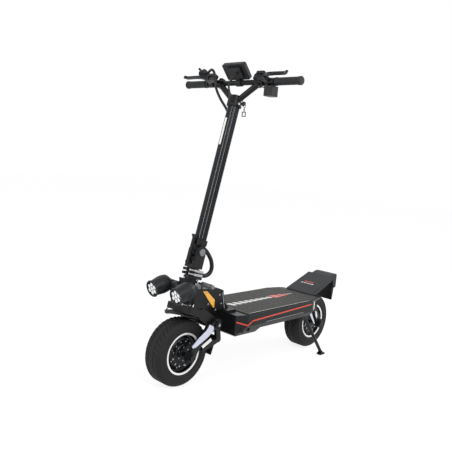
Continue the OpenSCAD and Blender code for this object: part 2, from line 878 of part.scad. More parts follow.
// Box with the horn and light buttons, hung under the bar beside the left grip
module switch_box() {
    color("#292a2d") at_bar() difference() {
        union() {
            translate(box_at + [box_size[0] / 2, box_size[1] / 2, 0]) linear_extrude(box_size[2])
                round_rect(box_size[0], box_size[1], 5);
            tube_y(bar_r + 4.5, 176, 188);
            translate([-8, 176, -20]) cube([16, 12, 12]);
        }
        tube_y(bar_r + run_gap, 140, 200);
        for (z = [10, 28]) translate(box_at + [-1, box_size[1] / 2, z]) rotate([0, 90, 0])
            cylinder(r = button_r + run_gap, h = 9);
    }
}

module push_button(z) {
    at_bar() translate(box_at + [-2.5, box_size[1] / 2, z]) rotate([0, 90, 0]) cylinder(r = button_r, h = 8);
}

module horn_button() {
    color("#c8c8c8") push_button(28);
}

module light_button() {
    color("#d04030") push_button(10);
}

key_z = bar_reach - 92;
key_y = stem_w / 2 + 4.5;
module key_frame() {
    steer_frame() translate([2, 0, key_z]) children();
}

module key_switch() {
    color("silver") key_frame() difference() {
        tube_y(10, key_y, key_y + 16);
        tube_y(6 + run_gap, key_y + 6, key_y + 20);
    }
}

module key() {
    color("#303030") key_frame() difference() {
        union() {
            tube_y(6, key_y + 6.5, key_y + 19);
            plate_x(-1.5, 1.5) translate([key_y + 27, 0]) circle(r = 10);
        }
        translate([-5, key_y + 32, 0]) rotate([0, 90, 0]) cylinder(r = 2.6, h = 10);
    }
}

// A flat shape drawn in Y and Z, as thick as the two places along X say
module plate_x(low, high) {
    translate([low, 0, 0]) rotate([90, 0, 90]) linear_extrude(high - low) children();
}

// Split ring, strap and open square tag that hang from the key
module key_tag() {
    ring = 7;
    wire = 1;
    tag = 20;
    color("#202020") translate(key_hole()) {
        translate([0, 0, -ring]) rotate([90, 0, 0])
            rotate_extrude($fn = 32) translate([ring, 0]) circle(r = wire, $fn = 16);
        translate([-ring / 2, 0, 0]) rotate([0, 90, 0]) cylinder(r = wire, h = ring, $fn = 16);
        translate([-2, -1, -2 * ring - 18]) cube([4, 2, 18.4]);
        plate_x(-1.2, 1.2) translate([0, -2 * ring - 18 - tag / 2]) difference() {
            square(tag, center = true);
            square(tag - 6, center = true);
        }
    }
}

function key_hole() = [
    axis_foot - key_z * sin(rake) + 2 * cos(rake), key_y + 32, key_z * cos(rake) + 2 * sin(rake),
];

// ---- cables held by the object ----

// A round tube swept along points, closed by flat ends
module sweep(path, r, sides) {
    n = len(path);
    function chord(i) = path[min(i + 1, n - 1)] - path[max(i - 1, 0)];
    function dir(i) = chord(i) / norm(chord(i));
    function side_of(t) = let (c = cross(t, abs(t[1]) < 0.9 ? [0, 1, 0] : [1, 0, 0])) c / norm(c);
    points = [for (i = [0 : n - 1], k = [0 : sides - 1])
        let (t = dir(i), a = side_of(t), b = cross(t, a), w = 360 * k / sides)
        path[i] + r * cos(w) * a + r * sin(w) * b];
    skin = [for (i = [0 : n - 2], k = [0 : sides - 1])
        let (q = (k + 1) % sides)
        [i * sides + k, i * sides + q, (i + 1) * sides + q, (i + 1) * sides + k]];
    first = [for (k = [sides - 1 : -1 : 0]) k];
    last = [for (k = [0 : sides - 1]) (n - 1) * sides + k];
    polyhedron(points, concat(skin, [first], [last]));
}

// Smooth points between the chosen ones
function smooth(p, steps) = concat([for (i = [0 : len(p) - 2], k = [0 : steps - 1])
    let (a = p[max(i - 1, 0)], b = p[i], c = p[i + 1], d = p[min(i + 2, len(p) - 1)], t = k / steps)
    0.5 * (2 * b + (c - a) * t + (2 * a - 5 * b + 4 * c - d) * t * t
        + (3 * b - a - 3 * c + d) * t * t * t)], [p[len(p) - 1]]);

conduit_r = 8;
conduit_foot = ring_r + 6;
// Route in the steering column's own frame, from the hinge's tongue round to the lower collar
conduit_route = [
    [-tongue_r - 0.02, 0, 580], [-36, 0, 578.44], [-56, 0, 566], [-84, 0, 540], [-99, 0, 512], [-96, 0, 488],
    [-80, 0, 474], [-60, 0, 469.5], [-46, 0, 469.5], [-37, 0, 469.5],
];
module fold_conduit() {
    color("#1a1a1b") steer_frame() sweep(smooth(conduit_route, 3), conduit_r, 12);
}

cable_routes = [
    [[245.5, -180.87, 1289.7], [245.6, -173, 1290.2], [248.5, -160, 1297], [253, -140, 1306],
        [257, -118, 1298], [259, -98, 1272], [262, -74, 1235], [265, -50, 1195], [262, -36, 1150],
        [256, -30, 1128], [254.25, -26, 1126.25], [254, -22.02, 1126]],
    [[261, 14, 1281], [268, 14, 1275], [277, 15, 1258], [284, 14, 1230], [284, 12, 1200],
        [282, 11, 1180], [278.34, 10.11, 1171.44], [270.42, 10, 1168.6]],
];
module bar_cables() {
    color("#161617") {
        sweep(smooth(cable_routes[0], 3), 5, 10);
        sweep(smooth(cable_routes[1], 3), 3.5, 8);
    }
}

// ---- wheels and link arms ----

// One link arm outline: from its pin over a bend to the axle, with a boss at each end
module arm_outline(pin, bend, hub) {
    beam(pin, bend, 38);
    beam(bend, hub, 34);
    translate(pin) circle(r = 24);
    translate(hub) circle(r = 24);
}

module arm_bores(pin, hub) {
    at(pin) tube_y(link_pin_d / 2 + run_gap, -arm_outer - 1, arm_outer + 1);
    at(hub) tube_y(axle_d / 2 + run_gap, -arm_outer - 1, arm_outer + 1);
}

front_cross = [front_knee[0] - 14, front_knee[1] - 66];
module front_arm() {
    bend = [front_knee[0] + 44, front_knee[1] - 14];
    color("#1a1b1d") difference() {
        union() {
            both_sides() plate_y(arm_inner, arm_outer) {
                arm_outline(front_knee, bend, front_axle);
                beam(front_knee - [4, 10], front_cross, 24);
                beam(front_cross, front_axle - [70, -18], 20);
            }
            at(front_cross) tube_y(9, -arm_inner - 1, arm_inner + 1);
        }
        arm_bores(front_knee, front_axle);
    }
}

module rear_arm() {
    bend = [rear_knee[0] - 84, rear_knee[1] - 16];
    cross_at = [rear_knee[0] + 8, rear_knee[1] - 60];
    color("#1a1b1d") difference() {
        union() {
            both_sides() plate_y(arm_inner, arm_outer) {
                arm_outline(rear_knee, bend, rear_axle);
                beam(cross_at, rear_knee - [4, 6], 22);
            }
            at(cross_at) tube_y(7, -arm_inner - 1, arm_inner + 1);
        }
        arm_bores(rear_knee, rear_axle);
    }
}

// Axle with a nut and a round end cover on each side
module axle_set() {
    color("#8a8c90") {
        tube_y(axle_d / 2, -axle_half, axle_half);
        both_sides() {
            tube_y(21, arm_outer, axle_half - 3);
            tube_y(14, axle_half - 3, axle_half + 4);
        }
    }
}

module front_axle_set() {
    at(front_axle) axle_set();
}

module rear_axle_set() {
    at(rear_axle) axle_set();
}

// Rubber flap behind the front wheel, hung on the arm's cross tube
module front_flap() {
    x = front_cross[0];
    z = front_cross[1];
    color("#222325") plate_y(-50, 50) difference() {
        polygon([
            [x - 15, z + 6], [x - 7, z + 8], [x - 5, z - 30], [x + 8, z - 76],
            [x + 3, z - 77], [x - 12, z - 32],
        ]);
        translate([x, z]) circle(r = 9);
    }
}

disc_y = -49;
disc_t = 1.8;
// Brake caliper that straddles the disc and bolts to the right arm, at an angle round the axle
module caliper(angle) {
    slot_half = 2.2;
    color("#5a5c60") rotate([0, -angle, 0]) difference() {
        translate([disc_d / 2 - 22, -arm_inner, -24]) cube([30, arm_inner + disc_y + 7, 48]);
        tube_y(disc_d / 2 + 1.5, disc_y - slot_half, disc_y + slot_half);
    }
}

module front_caliper() {
    at(front_axle) caliper(150);
}

module rear_caliper() {
    at(rear_axle) caliper(42);
}

// Section of a tubeless tyre: flat tread, round shoulders and a bead on each side
module tyre_section() {
    half = tyre_w / 2;
    seat = rim_r - 2;
    side = [
        [seat, half - 7.3], [rim_r + 0.3, half - 7.3], [rim_r + 2, half - 4], [rim_r + 14, half - 0.5],
        [wheel_r - 24, half],
        [wheel_r - 12, half - 2], [wheel_r - 4, half - 8], [wheel_r, half - 17],
    ];
    polygon(concat(side, [for (i = [len(side) - 1 : -1 : 0]) [side[i][0], -side[i][1]]]));
}

module tyre() {
    groove = 4;
    color("#2a2a2a") rotate([90, 0, 0]) difference() {
        rotate_extrude($fn = 96) tyre_section();
        for (y = [-14, 14]) translate([0, 0, y - groove / 2]) difference() {
            cylinder(r = wheel_r + 1, h = groove, $fn = 96);
            translate([0, 0, -1]) cylinder(r = wheel_r - 4, h = groove + 2, $fn = 96);
        }
    }
}

module front_tyre() {
    at(front_axle) tyre();
}

module rear_tyre() {
    at(rear_axle) tyre();
}

// Hub motor with its rim, two bolted covers and the brake disc on the right
module hub(disc) {
    half = tyre_w / 2;
    shell_r = rim_r - 22;
    bolts = 12;
    color("#202124") difference() {
        union() {
            rotate([90, 0, 0]) rotate_extrude($fn = 96) {
                side = [
                    [0, half - 2], [16, half - 2], [20, half - 6], [34, half - 8], [38, half - 12],
                    [shell_r - 6, half - 14], [shell_r, half - 18], [shell_r + 4, half - 24],
                    [rim_r - 12, half - 20], [rim_r - 7, half - 5], [rim_r, half - 4], [rim_r, half - 7],
                    [rim_r - 2, half - 7],
                ];
                polygon(concat(side, [for (i = [len(side) - 1 : -1 : 0]) [side[i][0], -side[i][1]]]));
            }
            for (i = [0 : bolts - 1]) rotate([0, 360 / bolts * i, 0])
                translate([shell_r - 12, 0, 0]) tube_y(3, -half + 10, half - 10);
            if (disc) difference() {
                tube_y(disc_d / 2, disc_y - disc_t / 2, disc_y + disc_t / 2);
                for (i = [0 : 9]) rotate([0, 36 * i, 0])
                    translate([disc_d / 2 - 20, disc_y, 0]) tube_y(5, -disc_t, disc_t);
            }
            if (disc) tube_y(24, disc_y - disc_t / 2, -half + 10);
        }
        tube_y(axle_d / 2 + run_gap, -2 * half, 2 * half);
    }
}

module front_hub() {
    at(front_axle) hub(true);
}

module rear_hub() {
    at(rear_axle) hub(true);
}

// ---- kickstand ----

module kickstand() {
    leg_r = 8;
    color("#2b2c2f") difference() {
        union() {
            translate(stand_pivot) tube_y(stand_drop - 5, 0.7 - stand_gap, stand_gap - 0.7);
            rod(stand_pivot, stand_foot + [0, 0, leg_r], leg_r);
            translate(stand_foot) linear_extrude(7) round_rect(44, 26, 8);
            rod(stand_foot + [6, -2, 14], stand_foot + [0, 0, 4], leg_r + 3);
        }
        translate(stand_pivot) tube_y(stand_pin_r + run_gap, -2 * stand_gap, 2 * stand_gap);
        translate(stand_foot - [100, 100, 40]) cube([200, 200, 40]);
    }
}

deck_case();
deck_plate();
grip_mat();
side_stripes();
battery_pack();
charge_sockets();
neck();
headset_bearings();
side_reflectors();
damper_cylinder();
footrest();
rear_lamp();
rear_mudguard();
kickstand_bracket();
rear_pivot_pin();
steerer();
fork();
headlight_bar();
headlights();
headlight_lenses();
front_fender();
fold_base();
fold_pin();
clamp_collars();
front_pivot_pin();
damper_rod();
upper_lever();
lower_lever();
fold_latch();
stem_knuckle();
stem_tube();
bar_riser();
handlebar();
grips();
brake_masters();
throttle_body();
display();
switch_box();
key_switch();
bar_cables();
left_brake_lever();
right_brake_lever();
throttle_trigger();
horn_button();
light_button();
key();
key_tag();
fold_conduit();
front_arm();
front_axle_set();
front_flap();
front_caliper();
front_tyre();
front_hub();
rear_arm();
rear_axle_set();
rear_caliper();
rear_tyre();
rear_hub();
kickstand();
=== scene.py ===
import math

import bmesh
import bpy
from mathutils import Matrix, Vector


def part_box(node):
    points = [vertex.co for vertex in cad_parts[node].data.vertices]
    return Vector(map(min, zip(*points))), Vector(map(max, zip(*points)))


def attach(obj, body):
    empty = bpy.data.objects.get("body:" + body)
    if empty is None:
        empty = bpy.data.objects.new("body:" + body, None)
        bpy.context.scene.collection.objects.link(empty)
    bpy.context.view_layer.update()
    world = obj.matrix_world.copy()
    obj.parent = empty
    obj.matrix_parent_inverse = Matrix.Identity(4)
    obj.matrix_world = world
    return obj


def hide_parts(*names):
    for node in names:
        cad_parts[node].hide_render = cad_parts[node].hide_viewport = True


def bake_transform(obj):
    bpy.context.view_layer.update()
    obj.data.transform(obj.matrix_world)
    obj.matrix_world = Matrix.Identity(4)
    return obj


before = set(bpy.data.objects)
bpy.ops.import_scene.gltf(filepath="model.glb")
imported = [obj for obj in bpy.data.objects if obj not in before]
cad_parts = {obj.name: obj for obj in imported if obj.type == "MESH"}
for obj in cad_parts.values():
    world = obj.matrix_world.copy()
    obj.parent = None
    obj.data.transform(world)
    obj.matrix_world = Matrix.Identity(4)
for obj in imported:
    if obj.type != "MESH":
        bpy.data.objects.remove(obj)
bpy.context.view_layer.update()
scene = bpy.context.scene
MM = 0.001

# ---- camera, floor and light ----

CAMERA_PLACE = Vector((1.976284, 1.631112, 0.932064))
CAMERA_YAW = math.radians(-136.905)
CAMERA_DROP = math.radians(6.784)
CAMERA_ROLL = math.radians(4.928)
FRAME_PX = 452
FOCAL_PX = 562.6
SENSOR_MM = 36
FLOOR_SPAN = 30
SKY_STRENGTH = 0.62
FLOOR_GLOW = 1.16
FLOOR_VEIL = 0.72
LAMP_TARGET = (0, 0, 0.5)


def linear(hex_colour):
    """An sRGB hex colour as the linear RGBA that the sockets take."""
    parts = [int(hex_colour[i:i + 2], 16) / 255 for i in (1, 3, 5)]
    return (*(c / 12.92 if c <= 0.04045 else ((c + 0.055) / 1.055) ** 2.4 for c in parts), 1.0)


def add(tree, kind, inputs=None, **settings):
    """Adds a node with its settings; an input is a value, or the output socket that feeds it."""
    node = tree.nodes.new(kind)
    for key, value in settings.items():
        setattr(node, key, value)
    for key, value in (inputs or {}).items():
        if isinstance(value, bpy.types.NodeSocket):
            tree.links.new(value, node.inputs[key])
        else:
            node.inputs[key].default_value = value
    return node


def make_camera():
    """The camera, placed and turned by its own yaw, drop and roll."""
    data = bpy.data.cameras.new("camera")
    data.sensor_width = SENSOR_MM
    data.lens = FOCAL_PX / FRAME_PX * SENSOR_MM
    camera = bpy.data.objects.new("camera", data)
    scene.collection.objects.link(camera)
    ahead = Vector((
        math.cos(CAMERA_YAW) * math.cos(CAMERA_DROP),
        math.sin(CAMERA_YAW) * math.cos(CAMERA_DROP),
        -math.sin(CAMERA_DROP),
    ))
    level = ahead.cross(Vector((0, 0, 1))).normalized()
    upright = level.cross(ahead)
    right = level * math.cos(CAMERA_ROLL) + upright * math.sin(CAMERA_ROLL)
    up = upright * math.cos(CAMERA_ROLL) - level * math.sin(CAMERA_ROLL)
    turn = Matrix((right, up, -ahead)).transposed()
    camera.matrix_world = Matrix.Translation(CAMERA_PLACE) @ turn.to_4x4()
    scene.camera = camera


def seen_directly(tree):
    """1 for camera, glossy and transmitted rays, so metal and glass show the white studio too."""
    path = add(tree, "ShaderNodeLightPath").outputs
    either = add(
        tree, "ShaderNodeMath", {0: path["Is Camera Ray"], 1: path["Is Glossy Ray"]},
        operation="ADD",
    )
    return add(
        tree, "ShaderNodeMath", {0: either.outputs[0], 1: path["Is Transmission Ray"]},
        operation="ADD", use_clamp=True,
    ).outputs[0]


def make_world():
    """White to the eye and in reflections, and a level grey sky as the light."""
    world = bpy.data.worlds.new("studio")
    scene.world = world
    world.use_nodes = True
    tree = world.node_tree
    tree.nodes.clear()
    sky = add(tree, "ShaderNodeBackground", {"Color": linear("#ffffff"), "Strength": SKY_STRENGTH})
    white = add(tree, "ShaderNodeBackground", {"Color": linear("#ffffff"), "Strength": 1.0})
    mix = add(tree, "ShaderNodeMixShader", {0: seen_directly(tree), 1: sky.outputs[0], 2: white.outputs[0]})
    add(tree, "ShaderNodeOutputWorld", {"Surface": mix.outputs[0]})


def make_floor():
    """A white floor that keeps a faint shadow of the object."""
    material = bpy.data.materials.new("studio_floor")
    material.use_nodes = True
    tree = material.node_tree
    tree.nodes.clear()
    matte = add(tree, "ShaderNodeBsdfDiffuse", {"Color": linear("#f4f4f4")})
    glow = add(tree, "ShaderNodeEmission", {"Color": linear("#ffffff"), "Strength": FLOOR_GLOW})
    veil = add(tree, "ShaderNodeMixShader", {0: FLOOR_VEIL, 1: matte.outputs[0], 2: glow.outputs[0]})
    mix = add(tree, "ShaderNodeMixShader", {0: seen_directly(tree), 1: matte.outputs[0], 2: veil.outputs[0]})
    add(tree, "ShaderNodeOutputMaterial", {"Surface": mix.outputs[0]})
    bpy.ops.mesh.primitive_plane_add(size=FLOOR_SPAN, location=(0, 0, 0))
    floor = bpy.context.object
    floor.name = "studio_floor"
    floor.data.materials.append(material)


def soft_lamp(name, place, target, size, watts):
    """A round area lamp that faces its target, sized in metres."""
    data = bpy.data.lights.new(name, "AREA")
    data.shape = "DISK"
    data.size = size
    data.energy = watts
    lamp = bpy.data.objects.new(name, data)
    scene.collection.objects.link(lamp)
    lamp.location = place
    lamp.rotation_euler = (Vector(target) - Vector(place)).to_track_quat("-Z", "Y").to_euler()


make_camera()
make_world()
make_floor()
soft_lamp("key", (1.2, 3.0, 2.8), LAMP_TARGET, 1.6, 60)
soft_lamp("rim", (-2.4, 1.2, 2.4), LAMP_TARGET, 1.4, 30)
soft_lamp("front", (3.2, -0.6, 1.8), (0.1, 0, 0.5), 1.6, 30)
scene.view_settings.view_transform = "Standard"

# ---- materials ----

CLOUD_MM = 60
CLOUD_LIFT = 0.1
# A wave texture of scale 1 repeats every 0.314 m, so the pitch of ribs or flutes sets its scale.
WAVE_PERIOD = 0.314


def blank_material(name):
    """A material without nodes, its tree, and the socket that gives object coordinates."""
    material = bpy.data.materials.new(name)
    material.use_nodes = True
    tree = material.node_tree
    tree.nodes.clear()
    return material, tree, add(tree, "ShaderNodeTexCoord").outputs["Object"]


def finish_material(tree, sockets):
    """The surface shader with its sockets, linked to the output."""
    shader = add(tree, "ShaderNodeBsdfPrincipled", sockets)
    add(tree, "ShaderNodeOutputMaterial", {"Surface": shader.outputs["BSDF"]})


def spread(tree, value, low, high):
    """Spreads a 0 to 1 pattern over a range of values."""
    return add(tree, "ShaderNodeMapRange", {"Value": value, "To Min": low, "To Max": high}).outputs["Result"]


def tint(tree, factor, dark, light):
    """A pattern as a colour between two hex colours."""
    mix = add(tree, "ShaderNodeMix", data_type="RGBA")
    tree.links.new(factor, mix.inputs["Factor"])
    mix.inputs["A"].default_value = linear(dark)
    mix.inputs["B"].default_value = linear(light)
    return mix.outputs["Result"]


def grainy(name, dark, light, grain_mm, depth_mm, roughness, stretch=(1, 1, 1), **sockets):
    """A surface whose colour, gloss and relief follow one fine grain over a broad, faint cloud."""
    material, tree, place = blank_material(name)
    scaled = add(tree, "ShaderNodeVectorMath", {0: place, 1: stretch}, operation="MULTIPLY").outputs[0]
    grain = add(tree, "ShaderNodeTexNoise", {"Vector": scaled, "Scale": 1 / (grain_mm * MM), "Detail": 3.0})
    cloud = add(tree, "ShaderNodeTexNoise", {"Vector": place, "Scale": 1 / (CLOUD_MM * MM), "Detail": 2.0})
    both = add(tree, "ShaderNodeMath", {0: grain.outputs[0], 1: cloud.outputs[0]}, operation="MULTIPLY_ADD")
    both.inputs[2].default_value = CLOUD_LIFT
    relief = add(
        tree, "ShaderNodeBump",
        {"Height": grain.outputs[0], "Distance": depth_mm * MM, "Strength": 1.0},
    )
    finish_material(tree, {
        "Base Color": tint(tree, both.outputs[0], dark, light),
        "Roughness": spread(tree, grain.outputs[0], roughness[0], roughness[1]),
        "Normal": relief.outputs["Normal"],
        **{key.replace("_", " "): value for key, value in sockets.items()},
    })
    return material


def powder_coat():
    """Satin black powder coat on cast aluminium: a fine orange peel that breaks up the highlights."""
    return grainy("powder_coat", "#0a0a0c", "#1a1b1e", 0.9, 0.05, (0.3, 0.46), Specular_IOR_Level=0.24)


def anodised_black():
    """Black anodised extrusion: a faint grain drawn out along the part."""
    return grainy("anodised_black", "#101114", "#24262a", 1.2, 0.02, (0.24, 0.36), (1, 1, 0.06), Metallic=0.6)


def turned_steel():
    """Turned bright steel of levers, steerer and screws: fine tool marks, clear reflections."""
    return grainy("turned_steel", "#9a9c9f", "#c6c8ca", 0.8, 0.02, (0.2, 0.34), Metallic=1.0)


def lavender_film():
    """Pearl film on the arms' insets: pale, slightly blue and almost matte."""
    return grainy("lavender_film", "#c3c6dc", "#d6d8e8", 0.7, 0.01, (0.3, 0.42), Metallic=0.2)


def lip_painted_highlight():
    """Machined rim edge, coloured nearly white all round: a painted highlight for the polished metal's
    reflections.
    """
    return grainy("lip_painted_highlight", "#ececea", "#fbfbf9", 0.8, 0.005, (0.2, 0.3), Metallic=0.35)


def chrome_plate():
    """Hard chrome on the damper's rod and the key switch: a mirror with hardly any grain."""
    return grainy("chrome_plate", "#c8cacc", "#e4e6e8", 0.8, 0.003, (0.06, 0.12), Metallic=1.0)


def grey_cast():
    """Bead-blasted grey aluminium of the damper, the calipers and the fold pin: soft and even."""
    return grainy("grey_cast", "#6f7477", "#8f9497", 0.5, 0.03, (0.4, 0.55), Metallic=0.7)


def moulded_abs():
    """Moulded black ABS with a fine spark-eroded texture."""
    return grainy("moulded_abs", "#0f1012", "#212327", 0.6, 0.04, (0.36, 0.5), Specular_IOR_Level=0.3)


def fender_plastic():
    """Dark grey polypropylene, lighter than the castings round it."""
    return grainy("fender_plastic", "#2c2d2e", "#3d3e3f", 0.7, 0.03, (0.42, 0.55), Specular_IOR_Level=0.3)


def footrest_coat():
    """Dark grey anti-slip coat on the footrest: coarse grit, shown at about twice its real size."""
    return grainy("footrest_coat", "#222427", "#3a3d41", 1.6, 0.12, (0.5, 0.7), Specular_IOR_Level=0.3)


def tyre_rubber():
    """Tyre rubber: matte, dusty in its hollows."""
    return grainy("tyre_rubber", "#151516", "#292929", 1.4, 0.08, (0.6, 0.78), Specular_IOR_Level=0.25)


def grip_rubber():
    """Moulded rubber of the grips and hub seals: a fine, nearly matte skin."""
    return grainy("grip_rubber", "#17181a", "#28292c", 0.9, 0.05, (0.5, 0.65), Specular_IOR_Level=0.3)


def sheath_pvc():
    """Black PVC of cables and conduits: a soft gloss."""
    return grainy("sheath_pvc", "#0b0b0c", "#1a1a1c", 1.0, 0.02, (0.32, 0.44), Specular_IOR_Level=0.3)


def flap_rubber():
    """Pressed rubber of the flap and the mudguard: matte, with a slightly coarser skin."""
    return grainy("flap_rubber", "#121314", "#222324", 1.1, 0.06, (0.5, 0.66), Specular_IOR_Level=0.3)


def red_vinyl():
    """Red vinyl film of the stripes, and the same red on the light button: smooth and coated."""
    return grainy("red_vinyl", "#c8321c", "#e04428", 1.4, 0.01, (0.26, 0.36), Coat_Weight=0.2)


def white_vinyl():
    """White vinyl film of the stripes: smooth, with a soft gloss."""
    return grainy("white_vinyl", "#dfdfdc", "#f0f0ee", 1.4, 0.01, (0.3, 0.4))


def grey_film_and_highlight():
    """Grey vinyl film of the thin lines, and the same grey as painted highlights on the neck's edge and the
    stem's grooves: the white film's gloss, darker.
    """
    return grainy("grey_film_and_highlight", "#8a8d90", "#a4a7aa", 1.4, 0.01, (0.3, 0.4))


def pale_moulding():
    """Light grey moulded plastic of the horn button: a soft, even gloss."""
    return grainy("pale_moulding", "#b4b6b8", "#cfd1d3", 0.8, 0.02, (0.36, 0.5))


def prism_reflector(name, dark, light):
    """Moulded reflector: small cube-corner prisms under a clear skin."""
    material, tree, place = blank_material(name)
    prisms = add(tree, "ShaderNodeTexVoronoi", {"Vector": place, "Scale": 1 / (2.4 * MM)})
    relief = add(tree, "ShaderNodeBump", {"Height": prisms.outputs["Distance"], "Distance": 0.5 * MM})
    finish_material(tree, {
        "Base Color": tint(tree, prisms.outputs["Distance"], light, dark),
        "Roughness": 0.3,
        "Coat Weight": 1.0,
        "Normal": relief.outputs["Normal"],
    })
    return material


def clear_lens():
    """Clear polycarbonate over the LEDs, with shallow upright flutes about 5.65 mm apart."""
    material, tree, place = blank_material("clear_lens")
    flutes = add(
        tree, "ShaderNodeTexWave", {"Vector": place, "Scale": WAVE_PERIOD / (5.652 * MM)},
        bands_direction="Y",
    )
    relief = add(tree, "ShaderNodeBump", {"Height": flutes.outputs[0], "Distance": 0.1 * MM})
    finish_material(tree, {
        "Base Color": linear("#ffffff"), "Roughness": 0.04, "IOR": 1.58,
        "Transmission Weight": 1.0, "Normal": relief.outputs["Normal"],
    })
    return material


def led_white():
    """Pale LED domes and the bright reflector round them, unlit."""
    return grainy("led_white", "#d8dcde", "#f2f4f4", 2.0, 0.05, (0.1, 0.3), Metallic=0.3)


def ribbed_mat():
    """Dark grey rubber mat: fine ribs along the deck, 4 mm apart, with dust between them."""
    material, tree, place = blank_material("ribbed_mat")
    ribs = add(
        tree, "ShaderNodeTexWave", {"Vector": place, "Scale": WAVE_PERIOD / (4 * MM)},
        wave_type="BANDS", bands_direction="Y",
    )
    grit = add(tree, "ShaderNodeTexNoise", {"Vector": place, "Scale": 1 / (1.2 * MM), "Detail": 3.0})
    height = add(tree, "ShaderNodeMath", {0: ribs.outputs[0], 1: grit.outputs[0]}, operation="ADD")
    relief = add(
        tree, "ShaderNodeBump",
        {"Height": height.outputs[0], "Distance": 0.25 * MM, "Strength": 0.8},
    )
    finish_material(tree, {
        "Base Color": tint(tree, grit.outputs[0], "#232423", "#3f403d"),
        "Roughness": spread(tree, ribs.outputs[0], 0.5, 0.68),
        "Specular IOR Level": 0.3,
        "Normal": relief.outputs["Normal"],
    })
    return material


POWDER = powder_coat()
ANODISED = anodised_black()
STEEL = turned_steel()
LAVENDER = lavender_film()
LIP_PAINTED_HIGHLIGHT = lip_painted_highlight()
CHROME = chrome_plate()
GREY_CAST = grey_cast()
ABS = moulded_abs()
FENDER = fender_plastic()
FOOT_COAT = footrest_coat()
TYRE = tyre_rubber()
GRIP = grip_rubber()
SHEATH = sheath_pvc()
FLAP = flap_rubber()
RED = red_vinyl()
WHITE = white_vinyl()
GREY_FILM_AND_HIGHLIGHT = grey_film_and_highlight()
PALE = pale_moulding()
AMBER = prism_reflector("amber_reflector", "#d98a00", "#ffc21a")
LAMP_RED = prism_reflector("rear_lamp_red", "#3a0608", "#7a1012")
LENS = clear_lens()
LED = led_white()
MAT = ribbed_mat()

NODE_MATERIALS = {
    POWDER: ["deck_case", "neck", "fork", "fold_base", "fold_latch", "stem_knuckle", "bar_riser",
             "front_arm", "rear_arm", "kickstand_bracket", "charge_sockets", "front_pivot_pin",
             "rear_pivot_pin", "front_axle_set", "rear_axle_set"],
    ANODISED: ["deck_plate", "headlight_bar", "clamp_collars", "stem_tube", "handlebar", "brake_masters",
               "left_brake_lever", "right_brake_lever", "front_hub", "rear_hub", "kickstand"],
    STEEL: ["headset_bearings", "steerer", "upper_lever", "lower_lever"],
    CHROME: ["damper_rod", "key_switch"],
    GREY_CAST: ["damper_cylinder", "front_caliper", "rear_caliper", "fold_pin"],
    ABS: ["headlights", "throttle_body", "throttle_trigger", "display", "switch_box", "key", "key_tag",
          "battery_pack", "rear_lamp"],
    FENDER: ["front_fender"],
    FOOT_COAT: ["footrest"],
    TYRE: ["front_tyre", "rear_tyre"],
    GRIP: ["grips"],
    SHEATH: ["bar_cables", "fold_conduit"],
    FLAP: ["front_flap", "rear_mudguard"],
    RED: ["side_stripes", "light_button"],
    PALE: ["horn_button"],
    AMBER: ["side_reflectors"],
    LENS: ["headlight_lenses"],
    MAT: ["grip_mat"],
}
for material, names in NODE_MATERIALS.items():
    for name in names:
        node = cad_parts[name]
        node.data.materials.clear()
        node.data.materials.append(material)


EDGE_WIDTHS = {"deck_case": 1.2, "deck_plate": 0.8, "neck": 1.4, "footrest": 1.0, "rear_lamp": 2.0,
               "switch_box": 1.2, "display": 1.0}


def soften_edges(name, width_mm):
    """Real edges catch a line of light: a small bevel on a CAD node's hard edges."""
    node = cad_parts[name]
    flat = node.modifiers.new("join_facets", "DECIMATE")
    flat.decimate_type = "DISSOLVE"
    flat.angle_limit = math.radians(1)
    bevel = node.modifiers.new("edge_line", "BEVEL")
    bevel.width = width_mm * MM
    bevel.segments = 2
    bevel.limit_method = "ANGLE"
    bevel.angle_limit = math.radians(38)
    bevel.use_clamp_overlap = True
    bevel.harden_normals = False


for name, width_mm in EDGE_WIDTHS.items():
    soften_edges(name, width_mm)

# ---- ways to make a piece ----

RAKE = math.radians(13.4)
AXIS_FOOT = 521.5
STEER = Matrix.Translation((AXIS_FOOT, 0, 0)) @ Matrix.Rotation(-RAKE, 4, "Y")
WORLD = Matrix.Identity(4)
LEFT, RIGHT = 1, -1
SIDES = ((LEFT, "left"), (RIGHT, "right"))
PLATE_EDGE_MM = 0.3


def piece(name, points, faces, body, material, place=WORLD, smooth=True):
    """A mesh from points in millimetres, seated on a body, or on none."""
    mesh = bpy.data.meshes.new(name)
    mesh.from_pydata([(place @ Vector(p)) * MM for p in points], [], faces)
    mesh.validate()
    work = bmesh.new()
    work.from_mesh(mesh)
    bmesh.ops.recalc_face_normals(work, faces=work.faces)
    work.to_mesh(mesh)
    work.free()
    mesh.polygons.foreach_set("use_smooth", [smooth] * len(mesh.polygons))
    mesh.materials.append(material)
    made = bpy.data.objects.new(name, mesh)
    scene.collection.objects.link(made)
    if body:
        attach(made, body)
    return made


def crease(made, degrees=40):
    """Keeps the hard edges of a smooth-shaded piece hard."""
    mesh = made.data
    work = bmesh.new()
    work.from_mesh(mesh)
    for edge in work.edges:
        if len(edge.link_faces) == 2 and edge.calc_face_angle() > math.radians(degrees):
            edge.smooth = False
    work.to_mesh(mesh)
    work.free()
    return made


def slab_faces(count):
    """Faces of a slab whose outline is listed twice, once for each of its two sides."""
    faces = [list(range(count)), list(range(2 * count - 1, count - 1, -1))]
    return faces + [[i, (i + 1) % count, count + (i + 1) % count, count + i] for i in range(count)]


def turned_faces(turns, count, closed=True):
    """Faces between the turned copies of a profile, which may be closed from last point to first."""
    faces = []
    for k in range(turns):
        after = (k + 1) % turns
        for i in range(count if closed else count - 1):
            j = (i + 1) % count
            faces.append([k * count + i, k * count + j, after * count + j, after * count + i])
    return faces


